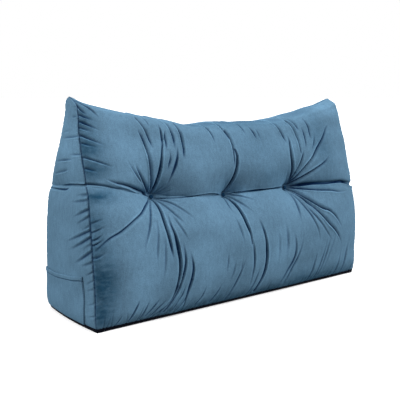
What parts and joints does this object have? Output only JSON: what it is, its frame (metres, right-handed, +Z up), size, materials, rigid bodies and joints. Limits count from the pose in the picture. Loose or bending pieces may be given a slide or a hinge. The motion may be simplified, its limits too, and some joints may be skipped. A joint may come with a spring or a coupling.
{
  "type": "headboard wedge cushion",
  "caption": "Stuffed wedge cushion for leaning against a headboard, with eared top corners, a belt seam, buttoned tufts and a flat side pocket.",
  "frame": {"origin": "on the floor plane, under the centre of the cushion's box", "axes": "+X along the cushion, +Y from the leaning side towards the headboard side, +Z up; the pocket is at -X"},
  "size_m": [0.9394, 0.3172, 0.545],
  "materials": {
    "velvet": "matte blue velvet with a soft sheen",
    "pocket_velvet": "matte blue velvet with a soft sheen",
    "button_velvet": "matte blue velvet, drawn tight"
  },
  "bodies": {
    "root": {"cushion": "velvet", "side_pocket": "pocket_velvet", "tuft_button_1": "button_velvet", "tuft_button_2": "button_velvet", "tuft_button_3": "button_velvet"}
  },
  "joints": []
}
